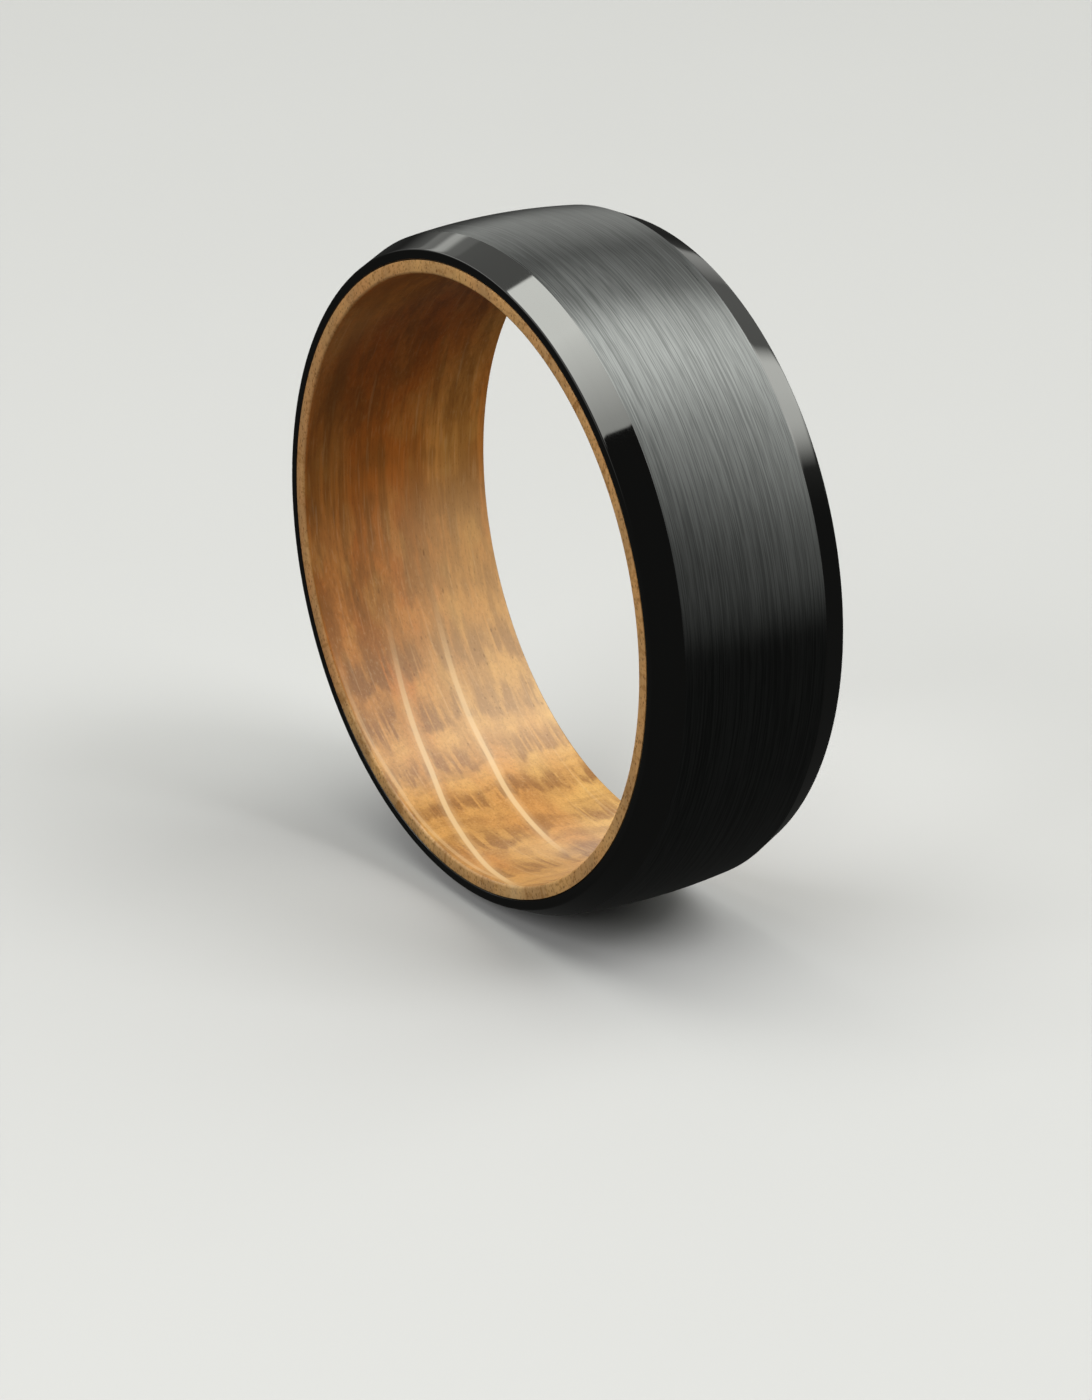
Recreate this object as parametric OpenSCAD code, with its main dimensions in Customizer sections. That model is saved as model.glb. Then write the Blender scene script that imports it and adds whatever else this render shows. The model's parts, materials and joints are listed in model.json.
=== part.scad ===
// Wedding band: a black tungsten carbide ring with a turned oak sleeve glued inside it.
// Sizes are in millimetres. The ring stands on its rim with its axis along Y and +Z up.
// The origin is the centre of the finger bore, half way between the two end faces.

/* [Overall] */
// Inside diameter of the finished ring, where the finger goes
bore_diameter = 22.2; // [14:0.1:28]
// Width of the band from one end face to the other
band_width = 8; // [4:0.1:12]

/* [Oak liner] */
// Wall thickness of the oak sleeve
liner_thickness = 0.5; // [0.3:0.02:1.2]
// Rounding of the oak's two inner edges, where the finger slides in
liner_edge_radius = 0.12; // [0.05:0.01:0.2]

/* [Adhesive] */
// Thickness of the glue line between the oak and the metal
glue_gap = 0.04; // [0.02:0.005:0.1]
// How far the glue line stops short of each end face, which leaves a dark hairline
glue_recess = 0.06; // [0.02:0.01:0.2]

/* [Metal shell] */
// Width of the flat land on each end face, from the metal's bore to the foot of the bevel
land_width = 0.34; // [0.2:0.02:1]
// Width of each polished bevel, measured along the ring's axis
bevel_width = 1.05; // [0.4:0.05:1.5]
// How far each polished bevel climbs, measured outwards from the foot
bevel_rise = 0.45; // [0.15:0.05:0.8]
// How far the brushed centre domes above the tops of the bevels
crown_rise = 0.18; // [0.05:0.01:0.5]
// Rounding of the corner between the end land and the bevel
land_corner_radius = 0.1; // [0.04:0.01:0.15]

/* [Hidden] */
$fn = 180;

half_width = band_width / 2;
// radii, from the finger outwards
bore_r = bore_diameter / 2;
liner_outer_r = bore_r + liner_thickness;
shell_bore_r = liner_outer_r + glue_gap;
bevel_foot_r = shell_bore_r + land_width;
bevel_top_r = bevel_foot_r + bevel_rise;
crown_r = bevel_top_r + crown_rise;
// the brushed centre is one shallow arc across the width, ending at the bevel tops
centre_half_width = half_width - bevel_width;
crown_arc_r = (pow(centre_half_width, 2) + pow(crown_rise, 2)) / (2 * crown_rise);
// slope of the bevel from the axis, and where its rounded foot meets the two flats
bevel_angle = atan2(bevel_rise, bevel_width);
foot_tangent = land_corner_radius / tan((90 + bevel_angle) / 2);
foot_land_r = bevel_foot_r - foot_tangent;
foot_bevel_r = bevel_foot_r + foot_tangent * sin(bevel_angle);
foot_bevel_y = half_width - foot_tangent * cos(bevel_angle);
// the two bevel planes carried on past the centre, to be trimmed by the crown arc
bevel_apex_r = bevel_foot_r + half_width * tan(bevel_angle);
// rounds run this little past tangent, so that each crosses its two flats cleanly
round_overrun = 1.01;

// turns a half profile, drawn with x as radius and y along the ring, into the upright ring
module turned() {
    rotate([90, 0, 0])
        rotate_extrude()
            children();
}

// what a round takes off a sharp corner: all outside a circle, on the corner's side of its centre
module corner_waste(centre, radius, meets_a, meets_b) {
    to_a = meets_a - centre;
    to_b = meets_b - centre;
    difference() {
        polygon([centre, centre + 2 * to_a, centre + 2 * to_a + 2 * to_b, centre + 2 * to_b]);
        translate(centre)
            circle(r = radius * round_overrun);
    }
}

module foot_waste(side) {
    corner_waste(
        [foot_land_r, side * (half_width - land_corner_radius)],
        land_corner_radius,
        [foot_land_r, side * half_width],
        [foot_bevel_r, side * foot_bevel_y]
    );
}

module shell_profile() {
    difference() {
        intersection() {
            polygon([
                [shell_bore_r, -half_width],
                [bevel_foot_r, -half_width],
                [bevel_apex_r, 0],
                [bevel_foot_r, half_width],
                [shell_bore_r, half_width]
            ]);
            translate([crown_r - crown_arc_r, 0])
                circle(r = crown_arc_r);
        }
        foot_waste(-1);
        foot_waste(1);
    }
}

module edge_waste(side) {
    corner_waste(
        [bore_r + liner_edge_radius, side * (half_width - liner_edge_radius)],
        liner_edge_radius,
        [bore_r, side * (half_width - liner_edge_radius)],
        [bore_r + liner_edge_radius, side * half_width]
    );
}

module liner_profile() {
    difference() {
        translate([bore_r, -half_width])
            square([liner_thickness, band_width]);
        edge_waste(-1);
        edge_waste(1);
    }
}

// black plated carbide ring: flat end lands, polished bevels and a domed brushed centre
module tungsten_shell() {
    color([0.06, 0.06, 0.065])
        turned()
            shell_profile();
}

// sleeve turned from solid oak, flush with the metal's end faces
module oak_liner() {
    color([0.62, 0.42, 0.22])
        turned()
            liner_profile();
}

// glue line that holds the sleeve in the shell
module adhesive_film() {
    color([0.12, 0.09, 0.06])
        turned()
            translate([liner_outer_r, -(half_width - glue_recess)])
                square([glue_gap, 2 * (half_width - glue_recess)]);
}

tungsten_shell();
oak_liner();
adhesive_film();
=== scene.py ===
"""Wedding band: black tungsten shell, turned oak sleeve and glue line, with a plain stage."""

import json
import math

import bmesh
import bpy
from mathutils import Matrix, Vector


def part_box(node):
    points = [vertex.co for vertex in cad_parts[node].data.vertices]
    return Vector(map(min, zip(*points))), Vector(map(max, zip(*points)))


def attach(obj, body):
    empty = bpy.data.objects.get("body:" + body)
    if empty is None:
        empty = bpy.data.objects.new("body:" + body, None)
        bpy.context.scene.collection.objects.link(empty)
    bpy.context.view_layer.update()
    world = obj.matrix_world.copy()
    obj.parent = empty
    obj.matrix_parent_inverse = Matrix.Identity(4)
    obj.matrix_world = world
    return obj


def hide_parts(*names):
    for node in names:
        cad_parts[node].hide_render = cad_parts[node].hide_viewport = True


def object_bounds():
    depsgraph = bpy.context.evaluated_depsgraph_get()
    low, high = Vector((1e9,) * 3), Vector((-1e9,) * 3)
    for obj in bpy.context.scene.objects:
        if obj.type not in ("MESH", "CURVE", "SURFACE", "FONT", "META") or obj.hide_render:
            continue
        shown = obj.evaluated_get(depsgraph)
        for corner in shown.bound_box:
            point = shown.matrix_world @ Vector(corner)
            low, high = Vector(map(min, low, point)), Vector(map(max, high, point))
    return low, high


bl_info = {
    "name": "Oak lined wedding band",
    "version": (1, 0, 0),
    "blender": (4, 5, 0),
    "location": "View3D > Sidebar > Ring",
    "description": "Makes a bevelled black tungsten wedding band with an oak sleeve",
    "category": "Add Mesh",
}

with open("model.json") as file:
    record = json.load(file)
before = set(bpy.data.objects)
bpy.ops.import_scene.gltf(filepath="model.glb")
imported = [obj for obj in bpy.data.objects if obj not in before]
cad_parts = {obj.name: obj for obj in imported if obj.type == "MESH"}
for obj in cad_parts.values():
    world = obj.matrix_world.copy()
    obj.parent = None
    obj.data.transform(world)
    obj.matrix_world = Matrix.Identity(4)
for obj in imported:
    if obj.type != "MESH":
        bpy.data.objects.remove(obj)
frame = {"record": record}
CAD_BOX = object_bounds()
MM = 0.001
PER_MM = 1000.0

BODY = "root"
SHELL_NODE = "tungsten_shell"
OAK_NODE = "oak_liner"
GLUE_NODE = "adhesive_film"

shell_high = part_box(SHELL_NODE)[1]
oak_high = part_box(OAK_NODE)[1]
glue_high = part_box(GLUE_NODE)[1]
BORE_RADIUS = next(
    m["dims"]["r_mm"] * MM for m in frame["record"]["mounts"] if m["name"] == "finger_bore"
)

# hair-fine roundings, and how far in on the crown its edge rounding takes its direction from
BORE_EDGE_ROUND = 0.02 * MM
OAK_OUTER_ROUND = 0.01 * MM
CROWN_LEAD = 0.05 * MM
# the glue's end faces dip by this share of its thickness
GLUE_DIP = 0.4

# how many steps the roundings and straights of a profile have, and how many a full turn has
EDGE_STEPS = 4
FOOT_STEPS = 10
BEVEL_STEPS = 8
CROWN_STEPS = 24
OAK_ROUND_STEPS = 12
OAK_OUTER_STEPS = 3
OAK_BORE_STEPS = 12
TURN_SEGMENTS = 720
GLUE_SEGMENTS = 360

# the camera looks down at the ring from the right, through a long lens
VIEW_AZIMUTH = math.radians(56.85)
VIEW_ELEVATION = math.radians(22.70)
VIEW_DISTANCE = 184.53 * MM
VIEW_SIDE = 0.389 * MM
VIEW_RAISE = 5.026 * MM
SENSOR_MM = 36.0
FOCAL_MM = 131.881
CLIP_NEAR = 0.005
CLIP_FAR = 20.0

FLOOR_HALF = 3.0
# each lamp's direction, distance, width and brightness
KEY_LAMP = ((0.54, 0.35, 0.77), 0.40, 0.16, 0.38)
FRONT_LAMP = ((0.10, -0.85, 0.50), 0.40, 0.24, 0.58)

# where each year's open wood ends across the blank, how deep it is and how dark, in mm
YEARS = (
    (-9.95, 0.8, 0.50),
    (-8.31, 1.3, 0.90),
    (-6.76, 1.4, 0.90),
    (-5.04, 1.3, 0.82),
    (-3.25, 1.1, 0.84),
    (-0.75, 1.7, 0.70),
    (2.10, 1.8, 0.85),
    (5.30, 1.9, 0.75),
    (8.40, 1.7, 0.60),
)

# rays: slope against the width, level, half thickness, the ends across the blank, in mm, and share
BROAD_RAYS = (
    (0.21, -3.25, 0.145, -8.9, 4.6, 1.0),
    (0.12, -0.22, 0.150, -9.1, 1.4, 1.0),
    (0.00, -3.74, 0.105, -8.6, 4.6, 0.45),
)

# the brush's lines: how many a mm across, how many a mm along, their share and a seed
BRUSH_LINES = (
    (7.5, 0.10, 0.14, 1.7),
    (13.0, 0.20, 0.34, 4.3),
    (21.0, 0.26, 0.40, 8.1),
)
BRUSH_CONTRAST = 7.0
DASH_SHARE = 0.34
# the plating's darkest and lightest, as shares of its colour
BRUSH_DARK = 0.74
BRUSH_LIGHT = 1.28
POLISH_DARK = 0.97
# how deep the surface patterns are
BRUSH_DEPTH = 0.008 * MM
POLISH_DEPTH = 0.010 * MM
GRAIN_DEPTH = 0.015 * MM

# the overhead panel's brightness from left to right, as a share of its full light
PANEL_LIGHT = 3.2
PANEL_FADE = (
    (-1.0, 0.97),
    (-0.1, 0.97),
    (0.0, 0.87),
    (0.13, 0.75),
    (0.28, 0.59),
    (0.43, 0.43),
    (0.58, 0.34),
    (0.68, 0.235),
    (0.76, 0.165),
    (0.82, 0.11),
    (0.9, 0.06),
    (1.0, 0.04),
)
STRIP_LIGHT = 0.82
ROOM_LIGHT = 0.029
ROOM_GLOW = 0.30
STUDIO_TINT = (1.0, 1.01, 0.965)
ROOM_SEEN = (0.74, 0.74, 0.73, 1.0)


# ---------------------------------------------------------------- sizes and colours


def length(name, description, default):
    return bpy.props.FloatProperty(
        name=name, description=description, default=default, min=0.0, unit="LENGTH", precision=5
    )


def colour(name, description, default):
    return bpy.props.FloatVectorProperty(
        name=name, description=description, default=default, size=3, subtype="COLOR", min=0.0, max=1.0
    )


def factor(name, description, default, top=1.0):
    return bpy.props.FloatProperty(
        name=name, description=description, default=default, min=0.0, max=top, subtype="FACTOR"
    )


class BandSizes(bpy.types.PropertyGroup):
    """Sizes of the ring's three pieces"""

    crown_radius: length("Crown radius", "Outer radius at the middle of the width", shell_high.x)
    half_width: length("Half width", "From the middle of the band to an end face", shell_high.y)
    shell_bore: length("Shell bore radius", "Inside radius of the metal shell", glue_high.x)
    land_width: length("Land width", "Flat black land on each end face", 0.34 * MM)
    bevel_width: length("Bevel width", "Width of each polished bevel along the axis", 1.05 * MM)
    bevel_rise: length("Bevel rise", "Height that each bevel climbs", 0.45 * MM)
    foot_round: length("Foot round", "Rounding between land and bevel", 0.10 * MM)
    crown_edge: length("Crown edge", "Rounding between bevel and brushed centre", 0.03 * MM)
    oak_bore: length("Oak bore radius", "Inside radius of the oak sleeve", BORE_RADIUS)
    oak_outer: length("Oak outer radius", "Outside radius of the oak sleeve", oak_high.x)
    oak_round: length("Oak edge round", "Rounding of the oak's inner edges", 0.12 * MM)
    glue_half: length("Glue half width", "Half the width of the glue line", glue_high.y)


class MetalLook(bpy.types.PropertyGroup):
    """Colour and finish of the black tungsten"""

    plating: colour("Plating", "Colour of the polished plating", (0.170, 0.171, 0.167))
    brushed: colour("Brushed plating", "Colour of the brushed plating", (0.168, 0.174, 0.172))
    brushed_roughness: factor("Brushed roughness", "Roughness of the brushed centre", 0.30)
    brushed_stretch: factor("Brushed stretch", "How far brushing stretches a highlight", 0.95)
    polish_roughness: factor("Polish roughness", "Roughness of the polished bevels", 0.035)


class OakLook(bpy.types.PropertyGroup):
    """Colours of the oak's grain and the sheen of its seal"""

    pale_wood: colour("Pale wood", "Dense wood that ends each year's growth", (0.655, 0.366, 0.093))
    heart: colour("Heart", "Warmer brown that stains the wood", (0.52, 0.164, 0.021))
    open_wood: colour("Open wood", "Darker, open wood that starts each year", (0.275, 0.110, 0.018))
    pore: colour("Pores", "Open pores and the darkest streaks", (0.10, 0.036, 0.009))
    ray: colour("Rays", "Pale ray fleck", (0.76, 0.525, 0.265))
    seal_roughness: factor("Seal roughness", "Roughness of the clear satin seal", 0.22)


class StageLook(bpy.types.PropertyGroup):
    """Floor and studio light"""

    floor: colour("Floor", "Colour of the plain floor", (0.48, 0.48, 0.475))
    light: factor("Light", "Strength of the studio light", 1.0, 4.0)


# ---------------------------------------------------------------- shader helpers


class Wires:
    """Adds math nodes to a node tree, so that a pattern reads as a sum"""

    def __init__(self, tree):
        self.tree = tree

    def feed(self, socket, value):
        if isinstance(value, bpy.types.NodeSocket):
            self.tree.links.new(value, socket)
        else:
            socket.default_value = value

    def node(self, kind, settings=None, **inputs):
        made = self.tree.nodes.new(kind)
        for key, value in (settings or {}).items():
            setattr(made, key, value)
        for key, value in inputs.items():
            self.feed(made.inputs[key.replace("_", " ")], value)
        return made

    def math(self, operation, *values, clamp=False):
        made = self.node("ShaderNodeMath", {"operation": operation, "use_clamp": clamp})
        for socket, value in zip(made.inputs, values):
            self.feed(socket, value)
        return made.outputs[0]

    def add(self, a, b):
        return self.math("ADD", a, b)

    def sub(self, a, b):
        return self.math("SUBTRACT", a, b)

    def mul(self, a, b):
        return self.math("MULTIPLY", a, b)

    def most(self, a, b):
        return self.math("MAXIMUM", a, b)

    def size(self, a):
        return self.math("ABSOLUTE", a)

    def invert(self, a):
        return self.math("SUBTRACT", 1.0, a)

    def limit(self, a):
        """The value held between 0 and 1"""
        return self.math("ADD", a, 0.0, clamp=True)

    def smooth(self, value, low, high):
        """0 below low, 1 above high, with a soft step between; falls instead where low is over high"""
        made = self.node("ShaderNodeMapRange", {"interpolation_type": "SMOOTHSTEP"})
        self.feed(made.inputs["Value"], value)
        self.feed(made.inputs["From Min"], low)
        self.feed(made.inputs["From Max"], high)
        return made.outputs[0]

    def blend(self, amount, a, b):
        made = self.node("ShaderNodeMix", {"data_type": "FLOAT"})
        self.feed(made.inputs[0], amount)
        self.feed(made.inputs[2], a)
        self.feed(made.inputs[3], b)
        return made.outputs[0]

    def tint(self, amount, a, b):
        made = self.node("ShaderNodeMix", {"data_type": "RGBA"})
        self.feed(made.inputs[0], amount)
        self.feed(made.inputs[6], a)
        self.feed(made.inputs[7], b)
        return made.outputs[2]

    def stretch(self, vector, scale):
        made = self.node("ShaderNodeVectorMath", {"operation": "MULTIPLY"})
        self.feed(made.inputs[0], vector)
        made.inputs[1].default_value = scale
        return made.outputs[0]

    def in_mm(self, place):
        return self.stretch(place, (PER_MM, PER_MM, PER_MM))

    def shift(self, vector, offset):
        made = self.node("ShaderNodeVectorMath", {"operation": "ADD"})
        self.feed(made.inputs[0], vector)
        self.feed(made.inputs[1], offset)
        return made.outputs[0]

    def split(self, vector):
        made = self.node("ShaderNodeSeparateXYZ")
        self.feed(made.inputs[0], vector)
        return made.outputs

    def join(self, x, y, z):
        made = self.node("ShaderNodeCombineXYZ")
        for socket, value in zip(made.inputs, (x, y, z)):
            self.feed(socket, value)
        return made.outputs[0]

    def noise(self, vector, stretch=None, detail=2.0, rough=0.5):
        """Soft random values from 0 to 1; stretch says how many of them a unit holds each way"""
        made = self.node("ShaderNodeTexNoise", {"noise_dimensions": "3D"})
        self.feed(made.inputs["Vector"], self.stretch(vector, stretch) if stretch else vector)
        made.inputs["Scale"].default_value = 1.0
        made.inputs["Detail"].default_value = detail
        made.inputs["Roughness"].default_value = rough
        return made.outputs["Fac"]

    def cells(self, vector, stretch):
        """Distance to the nearest of some scattered points, and that point's own random colour"""
        made = self.node("ShaderNodeTexVoronoi", {"voronoi_dimensions": "3D", "feature": "F1"})
        self.feed(made.inputs["Vector"], self.stretch(vector, stretch))
        made.inputs["Scale"].default_value = 1.0
        made.inputs["Randomness"].default_value = 1.0
        return made.outputs["Distance"], self.split(made.outputs["Color"])


def new_group(name, inputs, outputs):
    """A node group with named sockets; returns it with what comes in and where its results go"""
    tree = bpy.data.node_groups.new(name, "ShaderNodeTree")
    for label, kind, default in inputs:
        made = tree.interface.new_socket(name=label, in_out="INPUT", socket_type="NodeSocket" + kind)
        if default is not None:
            made.default_value = default
    for label, kind in outputs:
        tree.interface.new_socket(name=label, in_out="OUTPUT", socket_type="NodeSocket" + kind)
    way_in = tree.nodes.new("NodeGroupInput")
    way_out = tree.nodes.new("NodeGroupOutput")
    return tree, way_in.outputs, way_out.inputs


def place_group(wires, tree, **inputs):
    made = wires.node("ShaderNodeGroup", {"node_tree": tree})
    for key, value in inputs.items():
        wires.feed(made.inputs[key.replace("_", " ")], value)
    return made.outputs


def new_material(name):
    made = bpy.data.materials.new(name)
    made.use_nodes = True
    tree = made.node_tree
    shader = tree.nodes["Principled BSDF"]
    place = tree.nodes.new("ShaderNodeTexCoord").outputs["Object"]
    return made, Wires(tree), shader, place


def rgba(values, share=1.0):
    return (values[0] * share, values[1] * share, values[2] * share, 1.0)


# ---------------------------------------------------------------- the brush's pattern


def brush_strokes(w, place):
    """Straight lines round the ring, each cut to length by a slower pattern, and short dashes"""
    strokes = None
    for across, along, share, seed in BRUSH_LINES:
        moved = w.shift(place, (seed, seed, -seed))
        line = w.sub(w.noise(moved, (0.02, across, 0.02), 1.0), 0.5)
        cut = w.sub(w.noise(moved, (along, across * 0.7, along), 0.0), 0.5)
        stroke = w.mul(w.mul(line, cut), share * BRUSH_CONTRAST)
        strokes = stroke if strokes is None else w.add(strokes, stroke)
    dashes = w.sub(w.noise(place, (1.0, 25.0, 1.0), 1.0), 0.5)
    return w.add(strokes, w.mul(dashes, DASH_SHARE))


def turning_lines():
    """Fine scratches that run round the ring's axis"""
    name = "turning_lines"
    if name in bpy.data.node_groups:
        return bpy.data.node_groups[name]
    tree, given, made = new_group(
        name,
        [("Position", "Vector", None), ("Fineness", "Float", 1.0)],
        [("Lines", "Float"), ("Bands", "Float"), ("Height", "Float")],
    )
    w = Wires(tree)
    scaled = w.node("ShaderNodeVectorMath", {"operation": "SCALE"})
    w.feed(scaled.inputs[0], given["Position"])
    w.feed(scaled.inputs["Scale"], w.mul(given["Fineness"], PER_MM))
    place = scaled.outputs[0]
    broad = w.noise(place, (0.10, 3.0, 0.10), 1.0)
    mixed = w.add(w.mul(w.sub(broad, 0.5), 0.06), brush_strokes(w, place))

    # a few scratches stand out, some bright and some dull
    moved = w.shift(w.stretch(place, (0.15, 20.0, 0.15)), (7.0, 3.0, 5.0))
    scratch = w.noise(moved, detail=0.0)
    bright = w.smooth(scratch, 0.60, 0.74)
    dull = w.smooth(scratch, 0.38, 0.26)
    lines = w.sub(w.add(w.smooth(mixed, -0.13, 0.13), w.mul(bright, 0.40)), w.mul(dull, 0.35))
    w.feed(made["Lines"], w.limit(lines))
    w.feed(made["Bands"], broad)
    w.feed(made["Height"], w.add(mixed, w.mul(w.sub(bright, dull), 0.2)))
    return tree


# ---------------------------------------------------------------- the oak's pattern, in mm


def open_bands(w, place, across, z):
    """Each year's open wood: it rises slowly to a sharp edge, and thin rays break it into cells"""
    bands = None
    for edge, depth, strength in YEARS:
        rise = w.smooth(across, edge - depth, edge - 0.45 * depth)
        fall = w.smooth(across, edge + 0.16, edge - 0.14)
        band = w.mul(w.mul(rise, fall), strength)
        bands = band if bands is None else w.most(bands, band)
    bands = w.mul(bands, w.blend(w.smooth(z, 3.0, -3.0), 0.35, 1.0))
    cells = w.noise(place, (0.45, 1.6, 0.18), 2.0, 0.55)
    splits = w.noise(place, (0.28, 4.6, 0.30), 1.0)
    cells = w.mul(w.smooth(cells, 0.38, 0.55), w.smooth(splits, 0.68, 0.52))
    return w.mul(bands, w.blend(cells, 0.18, 1.0))


def pore_marks(w, place, dark):
    """Hair-thin dark tubes, crowded where the wood is open, and finer specks everywhere"""
    gap, cell = w.cells(place, (5.2, 5.6, 0.55))
    tubes = w.mul(w.smooth(gap, 0.30, 0.16), w.smooth(cell[0], 0.45, 0.80))
    pores = w.mul(tubes, w.blend(w.smooth(dark, 0.1, 0.5), 0.12, 0.70))
    gap, cell = w.cells(place, (11.0, 11.0, 6.0))
    specks = w.mul(w.smooth(gap, 0.42, 0.20), w.smooth(cell[1], 0.40, 0.75))
    return pores, specks


def ray_sheets(w, place, x, y, z):
    """A few broad rays and many thin ones"""
    sway = w.mul(w.sub(w.noise(place, (0.24, 0.0, 0.24), 1.0), 0.5), 0.32)
    rays = w.mul(w.smooth(w.noise(place, (0.16, 6.5, 0.42), 1.0), 0.62, 0.78), 0.16)
    brightness = w.blend(w.smooth(z, -8.8, -10.8), 0.57, 0.70)
    below = w.smooth(z, -1.0, -5.5)
    for slope, level, half, near_end, far_end, share in BROAD_RAYS:
        off = w.size(w.sub(w.add(w.add(y, w.mul(x, slope)), sway), level))
        halo = w.mul(w.smooth(off, half * 2.6, half), 0.25)
        sheet = w.add(w.smooth(off, half, half * 0.5), halo)
        start = w.smooth(x, near_end - 1.5, near_end + 1.7)
        stop = w.smooth(x, far_end + 0.4, far_end - 3.2)
        sheet = w.mul(w.mul(sheet, w.mul(start, stop)), below)
        rays = w.most(rays, w.limit(w.mul(sheet, w.mul(brightness, share))))
    return rays


def plain_wood(w, given, place, y, z, warm, streak):
    """Pale wood stained by the heart's brown, partly a real stain and partly a painted sheen that is
    weaker toward the front, with streaks and a mottle that grows up the wall
    """
    wood = w.tint(w.limit(warm), given["Pale Wood"], given["Heart"])
    wood = w.tint(w.mul(streak, 0.62), wood, given["Open Wood"])
    mottle = w.noise(place, (0.60, 0.95, 0.42))
    wall = w.smooth(z, -6.0, -1.0)
    dim = w.mul(w.smooth(mottle, 0.49, 0.62), w.blend(wall, 0.30, 0.46))
    wood = w.tint(dim, wood, given["Open Wood"])
    pale = w.mul(w.smooth(mottle, 0.46, 0.30), w.blend(wall, 0.30, 0.24))
    return w.tint(pale, wood, given["Pale Wood"])


def late_wood(w, given, wood, layers, y, z):
    """Thin lines below, where the years lie almost along the surface"""
    lines = w.noise(w.join(w.mul(layers, 1.9), w.mul(y, 0.30), w.mul(z, 0.10)), rough=0.6)
    lines = w.mul(w.smooth(lines, 0.48, 0.66), w.smooth(z, -7.5, -10.0))
    return w.tint(w.mul(lines, 0.34), wood, given["Open Wood"])


def vein_and_painted_sheen(w, given, wood, wander, x, y, z):
    """One dark vein follows the front edge up the wall, and a painted sheen greys the wood toward the
    back below
    """
    vein = w.size(w.add(w.add(y, 2.9), w.mul(wander, 0.35)))
    rising = w.mul(w.smooth(z, 0.5, 4.5), w.smooth(x, 1.0, -4.0))
    vein = w.mul(w.smooth(vein, 0.60, 0.12), rising)
    wood = w.tint(w.mul(vein, 0.55), wood, given["Open Wood"])
    # painted sheen: low in the bore, the wood is tinted greyer and paler toward the back, where the
    # seal reflects more light
    low = w.mul(w.smooth(z, 1.0, -3.0), w.smooth(z, -10.8, -8.4))
    painted_sheen = w.mul(w.smooth(y, -2.6, 1.8), low)
    return w.tint(w.mul(painted_sheen, 0.27), wood, given["Ray"])


def end_grain(w, given, wood, place, x, z, ends):
    """The end faces are cut and sanded, so they are grainier, with a few radial marks; they are also
    paler, partly from the sanding and partly as painted sheen
    """
    # painted sheen, in part: the end faces are tinted paler, toward the ray colour
    wood = w.tint(w.mul(ends, 0.36), wood, given["Ray"])
    grit = w.noise(place, (4.5, 4.5, 4.5), 2.0, 0.7)
    wood = w.tint(w.mul(w.mul(w.smooth(grit, 0.49, 0.64), ends), 0.46), wood, given["Open Wood"])
    angle = w.mul(w.math("ARCTAN2", z, x), 22.0)
    marks = w.noise(w.join(angle, 0.0, w.mul(x, 0.3)), detail=1.0)
    return w.tint(w.mul(w.mul(w.smooth(marks, 0.62, 0.72), ends), 0.55), wood, given["Open Wood"])


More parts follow.
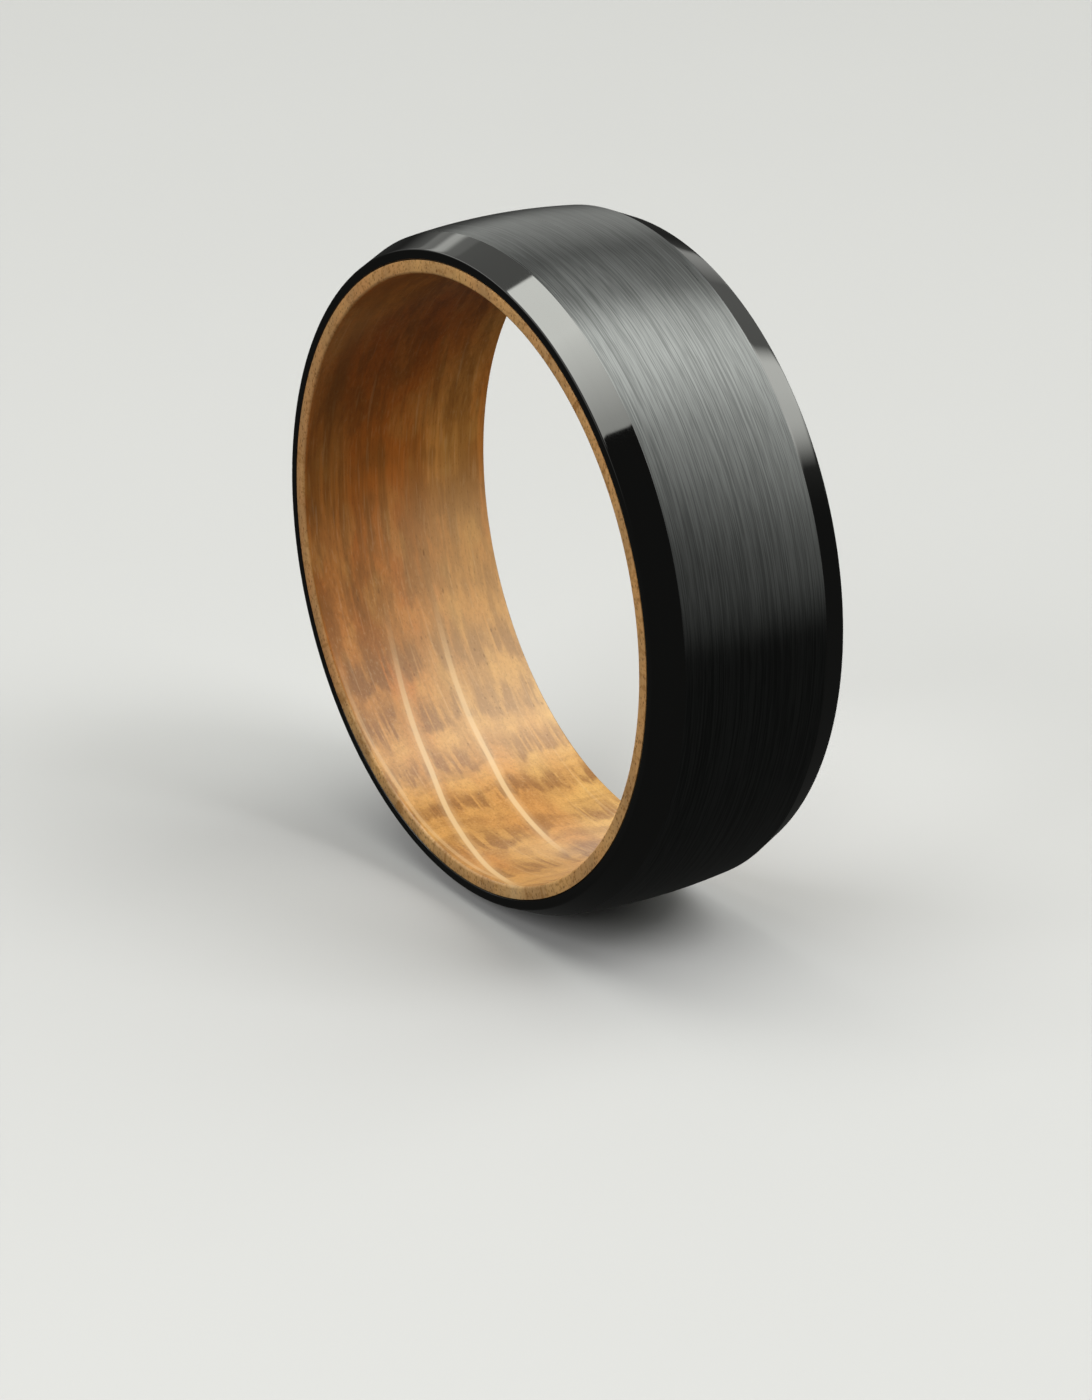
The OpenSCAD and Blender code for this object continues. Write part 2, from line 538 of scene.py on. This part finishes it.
def oak_grain(look):
    """Solid ring-porous oak: years along X, fibre along Z, and rays that run in X and Z"""
    name = "oak_grain"
    if name in bpy.data.node_groups:
        return bpy.data.node_groups[name]
    tree, given, made = new_group(
        name,
        [
            ("Position", "Vector", None),
            ("Pale Wood", "Color", rgba(look.pale_wood)),
            ("Heart", "Color", rgba(look.heart)),
            ("Open Wood", "Color", rgba(look.open_wood)),
            ("Pore", "Color", rgba(look.pore)),
            ("Ray", "Color", rgba(look.ray)),
        ],
        [("Colour", "Color"), ("Roughness", "Float"), ("Height", "Float")],
    )
    w = Wires(tree)
    place = w.in_mm(given["Position"])
    x, y, z = w.split(place)

    # the years wander slowly, and their edges are a little ragged across the width
    wander = w.sub(w.noise(place, (0.12, 0.45, 0.10), 1.0), 0.5)
    ragged = w.mul(w.sub(w.noise(place, (0.30, 2.6, 0.22), 1.0), 0.5), 0.9)
    layers = w.add(x, wander)
    dark = open_bands(w, place, w.add(layers, ragged), z)

    # fibre: long streaks up the trunk, broad ones and fine ones, and a slow stain
    streak = w.smooth(w.noise(place, (0.75, 1.9, 0.085), 2.0, 0.55), 0.46, 0.64)
    streak = w.mul(streak, w.blend(w.smooth(z, -10.0, -6.0), 0.20, 0.95))
    fibre = w.noise(place, (9.0, 10.0, 0.55), 2.0, 0.6)
    stain = w.smooth(w.noise(place, (0.22, 0.40, 0.07)), 0.36, 0.66)
    warm = w.add(w.mul(w.smooth(x, -5.0, -10.0), 0.50), w.mul(stain, 0.42))
    # painted sheen, in part: the tint toward the heart's brown grows toward the front, standing in for
    # the seal's weaker sheen there
    warm = w.sub(w.add(warm, 0.10), w.mul(y, 0.055))

    pores, specks = pore_marks(w, place, dark)
    rays = ray_sheets(w, place, x, y, z)
    ends = w.smooth(w.size(y), 3.90, 3.97)

    wood = plain_wood(w, given, place, y, z, warm, streak)
    wood = w.tint(dark, wood, given["Open Wood"])
    wood = late_wood(w, given, wood, layers, y, z)
    wood = w.tint(w.mul(w.smooth(fibre, 0.48, 0.72), 0.20), wood, given["Pore"])
    wood = w.tint(w.mul(w.smooth(fibre, 0.46, 0.28), 0.13), wood, given["Ray"])
    wood = vein_and_painted_sheen(w, given, wood, wander, x, y, z)
    wood = end_grain(w, given, wood, place, x, z, ends)
    wood = w.tint(w.mul(specks, w.blend(ends, 0.13, 0.65)), wood, given["Pore"])
    wood = w.tint(w.mul(pores, 0.46), wood, given["Pore"])
    wood = w.tint(rays, wood, given["Ray"])
    w.feed(made["Colour"], wood)
    w.feed(made["Roughness"], w.add(w.mul(pores, 0.2), w.sub(0.50, w.mul(rays, 0.12))))
    height = w.add(w.mul(pores, 0.8), w.add(w.mul(specks, 0.25), w.mul(fibre, 0.25)))
    w.feed(made["Height"], w.sub(w.mul(rays, 0.2), height))
    return tree


# ---------------------------------------------------------------- finishes


def bump(wires, shader, height, strength, distance):
    made = wires.node("ShaderNodeBump", Height=height, Strength=strength, Distance=distance)
    wires.feed(shader.inputs["Normal"], made.outputs[0])


def brushed_black(look):
    made, w, shader, place = new_material("brushed_black_tungsten")
    lines = place_group(w, turning_lines(), Position=place, Fineness=1.0)
    dark = rgba(look.brushed, BRUSH_DARK)
    light = rgba(look.brushed, BRUSH_LIGHT)
    w.feed(shader.inputs["Base Color"], w.tint(lines["Lines"], dark, light))
    shader.inputs["Metallic"].default_value = 1.0
    low = look.brushed_roughness - 0.04
    rough = w.add(low, w.add(w.mul(lines["Bands"], 0.05), w.mul(lines["Lines"], 0.03)))
    w.feed(shader.inputs["Roughness"], rough)
    shader.inputs["Anisotropic"].default_value = look.brushed_stretch
    shader.inputs["Anisotropic Rotation"].default_value = 0.25
    tangent = w.node("ShaderNodeTangent", {"direction_type": "RADIAL", "axis": "Y"})
    w.feed(shader.inputs["Tangent"], tangent.outputs[0])
    bump(w, shader, lines["Height"], 0.30, BRUSH_DEPTH)
    return made


def polished_black(look):
    made, w, shader, place = new_material("polished_black_tungsten")
    lines = place_group(w, turning_lines(), Position=place, Fineness=1.4)
    dark = rgba(look.plating, POLISH_DARK)
    w.feed(shader.inputs["Base Color"], w.tint(lines["Bands"], dark, rgba(look.plating)))
    shader.inputs["Metallic"].default_value = 1.0
    rough = w.add(look.polish_roughness, w.mul(lines["Lines"], 0.02))
    w.feed(shader.inputs["Roughness"], rough)
    bump(w, shader, lines["Height"], 0.02, POLISH_DEPTH)
    return made


def sealed_oak(look):
    made, w, shader, place = new_material("sealed_oak")
    grain = place_group(w, oak_grain(look), Position=place)
    w.feed(shader.inputs["Base Color"], grain["Colour"])
    w.feed(shader.inputs["Roughness"], grain["Roughness"])
    shader.inputs["Specular IOR Level"].default_value = 0.2
    shader.inputs["Coat Weight"].default_value = 1.0
    shader.inputs["Coat Roughness"].default_value = look.seal_roughness
    shader.inputs["Coat IOR"].default_value = 1.52
    bump(w, shader, grain["Height"], 0.4, GRAIN_DEPTH)
    return made


def cured_glue():
    made, w, shader, place = new_material("cured_glue")
    mottle = w.noise(w.in_mm(place), (3.0, 3.0, 3.0), 3.0)
    dark, light = (0.012, 0.009, 0.006, 1.0), (0.035, 0.025, 0.016, 1.0)
    w.feed(shader.inputs["Base Color"], w.tint(mottle, dark, light))
    w.feed(shader.inputs["Roughness"], w.blend(mottle, 0.45, 0.65))
    return made


def plain_floor(look):
    made, w, shader, place = new_material("plain_floor")
    mottle = w.noise(w.in_mm(place), (0.05, 0.05, 0.05))
    lighter = rgba([min(1.0, c * 1.02) for c in look.floor])
    w.feed(shader.inputs["Base Color"], w.tint(mottle, rgba(look.floor), lighter))
    shader.inputs["Roughness"].default_value = 0.9
    shader.inputs["Specular IOR Level"].default_value = 0.1
    return made


# ---------------------------------------------------------------- turned shapes


def turn(name, profile, materials, marks, segments=TURN_SEGMENTS):
    """Turns a closed half profile of (radius, place along Y) about the Y axis"""
    mesh = bpy.data.meshes.new(name)
    shape = bmesh.new()
    rings = []
    for step in range(segments):
        angle = 2.0 * math.pi * step / segments
        rings.append(
            [shape.verts.new((r * math.cos(angle), y, r * math.sin(angle))) for r, y in profile]
        )
    count = len(profile)
    for step in range(segments):
        near, far = rings[step], rings[(step + 1) % segments]
        for i in range(count):
            j = (i + 1) % count
            face = shape.faces.new((near[i], far[i], far[j], near[j]))
            face.smooth = True
            face.material_index = marks[i]
    bmesh.ops.recalc_face_normals(shape, faces=shape.faces)
    shape.to_mesh(mesh)
    shape.free()
    piece = bpy.data.objects.new(name, mesh)
    bpy.context.scene.collection.objects.link(piece)
    for material in materials:
        mesh.materials.append(material)
    return piece


def corner_arc(before, corner, after, radius, steps):
    """Rounds a corner of the profile, and returns its points from the first flat to the next"""
    a = (Vector(before) - Vector(corner)).normalized()
    b = (Vector(after) - Vector(corner)).normalized()
    half = a.angle(b) / 2.0
    reach = radius / math.tan(half)
    centre = Vector(corner) + (a + b).normalized() * (radius / math.sin(half))
    first = Vector(corner) + a * reach - centre
    last = Vector(corner) + b * reach - centre
    angle = first.angle(last)
    points = []
    for i in range(steps + 1):
        t = i / steps
        spoke = (first * math.sin((1 - t) * angle) + last * math.sin(t * angle)) / math.sin(angle)
        points.append(tuple(centre + spoke))
    return points


def shell_half(s, inner, polished, brushed):
    """The shell's profile from its bore to the middle of the crown, each point with its finish"""
    end = -s.half_width
    foot = s.shell_bore + s.land_width
    top = foot + s.bevel_rise
    crown_half = s.half_width - s.bevel_width
    rise = s.crown_radius - top
    if rise <= 0 or crown_half <= 0:
        raise RuntimeError("the bevels leave no room for the brushed crown")
    crown_arc = (crown_half**2 + rise**2) / (2 * rise)

    def crown_point(y):
        return (s.crown_radius - crown_arc + math.sqrt(crown_arc**2 - y * y), y)

    inner_corner, foot_corner, top_corner = (s.shell_bore, end), (foot, end), (top, -crown_half)
    bore_round = corner_arc((s.shell_bore, 0), inner_corner, foot_corner, BORE_EDGE_ROUND, EDGE_STEPS)
    foot_round = corner_arc(inner_corner, foot_corner, top_corner, s.foot_round, FOOT_STEPS)
    on_crown = crown_point(-crown_half + CROWN_LEAD)
    top_round = corner_arc(foot_corner, top_corner, on_crown, s.crown_edge, EDGE_STEPS)

    half = [(point, inner) for point in bore_round]
    half += [(point, polished) for point in foot_round]
    start, stop = Vector(foot_round[-1]), Vector(top_round[0])
    half += [(tuple(start.lerp(stop, i / BEVEL_STEPS)), polished) for i in range(1, BEVEL_STEPS)]
    half += [(point, polished) for point in top_round[:-1]]
    half += [(top_round[-1], brushed)]
    edge = top_round[-1][1]
    half += [(crown_point(edge * (1 - i / CROWN_STEPS)), brushed) for i in range(1, CROWN_STEPS + 1)]
    return half


class BAND_OT_tungsten_shell(bpy.types.Operator):
    """Turns the black shell with its lands, polished bevels and brushed crown"""

    bl_idname = "band.tungsten_shell"
    bl_label = "Tungsten shell"

    def execute(self, context):
        look = context.scene.band_metal
        brushed, polished = 0, 1
        inner = polished
        half = shell_half(context.scene.band_sizes, inner, polished, brushed)
        profile = [point for point, _ in half]
        marks = [mark for _, mark in half]
        # mirror it for the back half; a mark belongs to the face that follows its point
        for i in range(len(half) - 2, -1, -1):
            r, y = half[i][0]
            profile.append((r, -y))
            marks.append(half[i - 1][1] if i > 0 else inner)
        piece = turn("turned_shell", profile, [brushed_black(look), polished_black(look)], marks)
        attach(piece, BODY)
        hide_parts(SHELL_NODE)
        return {"FINISHED"}


class BAND_OT_oak_sleeve(bpy.types.Operator):
    """Turns the oak sleeve with its rounded inner edges"""

    bl_idname = "band.oak_sleeve"
    bl_label = "Oak sleeve"

    def execute(self, context):
        s = context.scene.band_sizes
        bore, outer, end = s.oak_bore, s.oak_outer, -s.half_width
        if outer <= bore + s.oak_round:
            raise RuntimeError("the oak wall is too thin for its rounded edges")
        profile = corner_arc((bore, 0), (bore, end), (outer, end), s.oak_round, OAK_ROUND_STEPS)
        profile += [((bore + outer) / 2, end)]
        profile += corner_arc((bore, end), (outer, end), (outer, 0), OAK_OUTER_ROUND, OAK_OUTER_STEPS)
        profile += [(outer, 0.0)]
        profile += [(r, -y) for r, y in reversed(profile[:-1])]
        start, stop = profile[-1][1], profile[0][1]
        for i in range(1, OAK_BORE_STEPS):
            profile.append((bore, start + (stop - start) * i / OAK_BORE_STEPS))
        piece = turn("oak_sleeve", profile, [sealed_oak(context.scene.band_oak)], [0] * len(profile))
        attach(piece, BODY)
        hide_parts(OAK_NODE)
        return {"FINISHED"}


class BAND_OT_glue_line(bpy.types.Operator):
    """Makes the glue line between oak and metal, a hair short of the end faces"""

    bl_idname = "band.glue_line"
    bl_label = "Glue line"

    def execute(self, context):
        s = context.scene.band_sizes
        inner, outer, end = s.oak_outer, s.shell_bore, s.glue_half
        if outer <= inner:
            raise RuntimeError("there is no gap for the glue line")
        dip = (outer - inner) * GLUE_DIP
        middle = (inner + outer) / 2
        profile = [(inner, -end), (middle, -end + dip), (outer, -end)]
        profile += [(outer, end), (middle, end - dip), (inner, end)]
        piece = turn("glue_line", profile, [cured_glue()], [0] * len(profile), GLUE_SEGMENTS)
        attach(piece, BODY)
        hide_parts(GLUE_NODE)
        return {"FINISHED"}


# ---------------------------------------------------------------- stage


def fading_panel(w, x):
    """The overhead panel's brightness, which fades to the right"""
    fade = w.node("ShaderNodeValToRGB")
    ramp = fade.color_ramp
    while len(ramp.elements) < len(PANEL_FADE):
        ramp.elements.new(0.5)
    for element, (place, level) in zip(ramp.elements, PANEL_FADE):
        element.position = (place + 1) / 2
        element.color = (level, level, level, 1.0)
    w.feed(fade.inputs[0], w.mul(w.add(x, 1.0), 0.5))
    return w.mul(fade.outputs[0], PANEL_LIGHT)


def overhead_panel(w, x, y, z):
    """A soft panel that hangs from above the ring to the back"""
    panel = fading_panel(w, x)
    # its left edge steps outward behind, and is sharp in front and soft behind
    left = w.sub(w.blend(w.smooth(y, 0.05, 0.24), -0.51, -0.20), w.mul(w.smooth(y, 0.75, 0.90), 0.035))
    behind = w.smooth(y, 0.10, 0.30)
    soft = w.add(0.012, w.mul(w.mul(behind, w.smooth(y, 0.90, 0.75)), 0.15))
    soft = w.add(soft, w.mul(w.smooth(y, 0.78, 0.90), 0.038))
    panel = w.mul(panel, w.smooth(x, w.sub(left, soft), w.add(left, soft)))
    level = w.blend(behind, 0.985, w.blend(w.smooth(x, 0.12, -0.04), 1.08, 0.84))
    panel = w.mul(panel, level)
    # it dims low on the right behind, and ends at a sharp right edge in front
    low_right = w.mul(w.smooth(z, 0.42, 0.05), w.smooth(x, 0.2, 0.5))
    low_right = w.mul(w.smooth(y, 0.45, 0.66), low_right)
    panel = w.mul(panel, w.blend(low_right, 1.0, 0.55))
    past_edge = w.mul(w.smooth(y, 0.18, 0.02), w.smooth(x, 0.485, 0.50))
    panel = w.mul(panel, w.invert(past_edge))
    # its lower edge drops to the right, and it is held back at the front and at the far back
    right = w.smooth(x, 0.12, 0.5)
    panel = w.mul(panel, w.smooth(z, w.blend(right, 0.14, -0.32), w.blend(right, 0.27, 0.06)))
    panel = w.mul(panel, w.smooth(y, -0.52, -0.36))
    return w.mul(panel, w.blend(w.smooth(y, 0.78, 0.92), 1.0, 0.78))


def left_strip(w, x, y, z):
    """A low soft strip on the left: a bright bar in front, a swell in its middle, and a far end"""
    swell = w.smooth(w.size(w.sub(y, 0.50)), 0.28, 0.06)
    centre = w.add(w.sub(0.505, w.mul(y, 0.445)), w.mul(swell, 0.06))
    off = w.size(w.sub(z, centre))
    half = w.add(0.075, w.mul(swell, 0.16))
    edge = w.add(0.02, w.mul(swell, 0.10))
    strip = w.mul(w.smooth(off, w.add(half, edge), w.sub(half, edge)), STRIP_LIGHT)
    off = w.size(w.sub(z, 0.385))
    near = w.add(w.mul(w.smooth(off, 0.21, 0.13), 0.46), w.mul(w.smooth(off, 0.075, 0.015), 0.76))
    far = w.mul(w.mul(w.smooth(z, 0.09, 0.135), w.smooth(z, 0.36, 0.15)), 0.60)
    strip = w.blend(w.smooth(y, 0.28, 0.36), near, strip)
    strip = w.blend(w.smooth(y, 0.60, 0.70), strip, far)
    return w.mul(strip, w.smooth(x, -0.45, -0.55))


def dim_room(w, x, z):
    """The dim room, brighter up on the left"""
    glow = w.mul(w.smooth(z, 0.0, 0.35), w.smooth(x, 0.3, -0.2))
    return w.add(ROOM_LIGHT, w.mul(glow, ROOM_GLOW))


def studio_light(strength):
    """What the metal reflects: an overhead panel, a strip on the left and a dim room"""
    world = bpy.data.worlds.new("studio")
    world.use_nodes = True
    bpy.context.scene.world = world
    tree = world.node_tree
    w = Wires(tree)
    x, y, z = w.split(tree.nodes.new("ShaderNodeTexCoord").outputs["Generated"])
    total = w.most(overhead_panel(w, x, y, z), w.most(left_strip(w, x, y, z), dim_room(w, x, z)))

    # the camera itself sees a plain pale room
    seen = tree.nodes.new("ShaderNodeLightPath").outputs["Is Camera Ray"]
    light = tree.nodes["Background"]
    tinted = w.join(*(w.mul(total, share) for share in STUDIO_TINT))
    w.feed(light.inputs["Color"], w.tint(seen, tinted, ROOM_SEEN))
    light.inputs["Strength"].default_value = strength


def soft_lamp(name, direction, distance, width, brightness):
    """A square lamp that lights wood and floor; the metal reflects the studio panels instead"""
    lamp = bpy.data.lights.new(name, "AREA")
    lamp.size = width
    lamp.energy = brightness * (math.pi * distance) ** 2
    holder = bpy.data.objects.new(name, lamp)
    aim = Vector(direction).normalized()
    holder.location = aim * distance
    holder.rotation_euler = aim.to_track_quat("Z", "Y").to_euler()
    holder.visible_glossy = False
    bpy.context.scene.collection.objects.link(holder)


def lay_floor(look):
    """A plain floor under the ring; its polish and its oak see a dark table instead"""
    level = CAD_BOX[0][2]
    half = FLOOR_HALF
    corners = [(-half, -half, level), (half, -half, level), (half, half, level), (-half, half, level)]
    mesh = bpy.data.meshes.new("floor")
    mesh.from_pydata(corners, [], [(0, 1, 2, 3)])
    mesh.materials.append(plain_floor(look))
    floor = bpy.data.objects.new("floor", mesh)
    floor.visible_glossy = False
    floor.visible_diffuse = False
    bpy.context.scene.collection.objects.link(floor)


def look_from():
    """The camera's axes and place, for a long lens aimed a little above the ring"""
    level = math.cos(VIEW_ELEVATION)
    ahead = math.sin(VIEW_AZIMUTH) * level
    aside = -math.cos(VIEW_AZIMUTH) * level
    back = Vector((ahead, aside, math.sin(VIEW_ELEVATION)))
    right = Vector((0.0, 0.0, 1.0)).cross(back).normalized()
    up = back.cross(right)
    place = back * VIEW_DISTANCE - right * VIEW_SIDE - up * VIEW_RAISE
    turned = Matrix((right, up, back)).transposed().to_4x4()
    return Matrix.Translation(place) @ turned


def place_camera(scene):
    lens = bpy.data.cameras.new("viewpoint")
    lens.sensor_width = SENSOR_MM
    lens.lens = FOCAL_MM
    lens.clip_start = CLIP_NEAR
    lens.clip_end = CLIP_FAR
    camera = bpy.data.objects.new("viewpoint", lens)
    camera.matrix_world = look_from()
    scene.collection.objects.link(camera)
    scene.camera = camera


class BAND_OT_stage(bpy.types.Operator):
    """Lays the plain floor, sets the studio light and places the camera"""

    bl_idname = "band.stage"
    bl_label = "Stage"

    def execute(self, context):
        look = context.scene.band_stage
        scene = context.scene
        scene.view_settings.view_transform = "Standard"
        scene.view_settings.look = "None"
        lay_floor(look)
        studio_light(look.light)
        for name, lamp in (("key_lamp", KEY_LAMP), ("front_lamp", FRONT_LAMP)):
            direction, distance, width, brightness = lamp
            soft_lamp(name, direction, distance, width, brightness * look.light)
        place_camera(scene)
        return {"FINISHED"}


# ---------------------------------------------------------------- panel and registration

OPERATORS = (
    BAND_OT_tungsten_shell,
    BAND_OT_oak_sleeve,
    BAND_OT_glue_line,
    BAND_OT_stage,
)


class BAND_PT_ring(bpy.types.Panel):
    """Lists the ring's sizes, finishes and makers"""

    bl_idname = "BAND_PT_ring"
    bl_label = "Oak lined band"
    bl_space_type = "VIEW_3D"
    bl_region_type = "UI"
    bl_category = "Ring"

    def draw(self, context):
        for group in GROUPS:
            box = self.layout.box()
            values = getattr(context.scene, group)
            for name in values.bl_rna.properties.keys():
                if name not in ("rna_type", "name"):
                    box.prop(values, name)
        for operator in OPERATORS:
            self.layout.operator(operator.bl_idname)


GROUPS = {
    "band_sizes": BandSizes,
    "band_metal": MetalLook,
    "band_oak": OakLook,
    "band_stage": StageLook,
}
CLASSES = tuple(GROUPS.values()) + OPERATORS + (BAND_PT_ring,)


def register():
    for cls in CLASSES:
        bpy.utils.register_class(cls)
    for name, cls in GROUPS.items():
        setattr(bpy.types.Scene, name, bpy.props.PointerProperty(type=cls))


def unregister():
    for name in GROUPS:
        delattr(bpy.types.Scene, name)
    for cls in reversed(CLASSES):
        bpy.utils.unregister_class(cls)


def main():
    register()
    bpy.ops.band.tungsten_shell()
    bpy.ops.band.oak_sleeve()
    bpy.ops.band.glue_line()
    bpy.ops.band.stage()


if __name__ == "__main__":
    main()
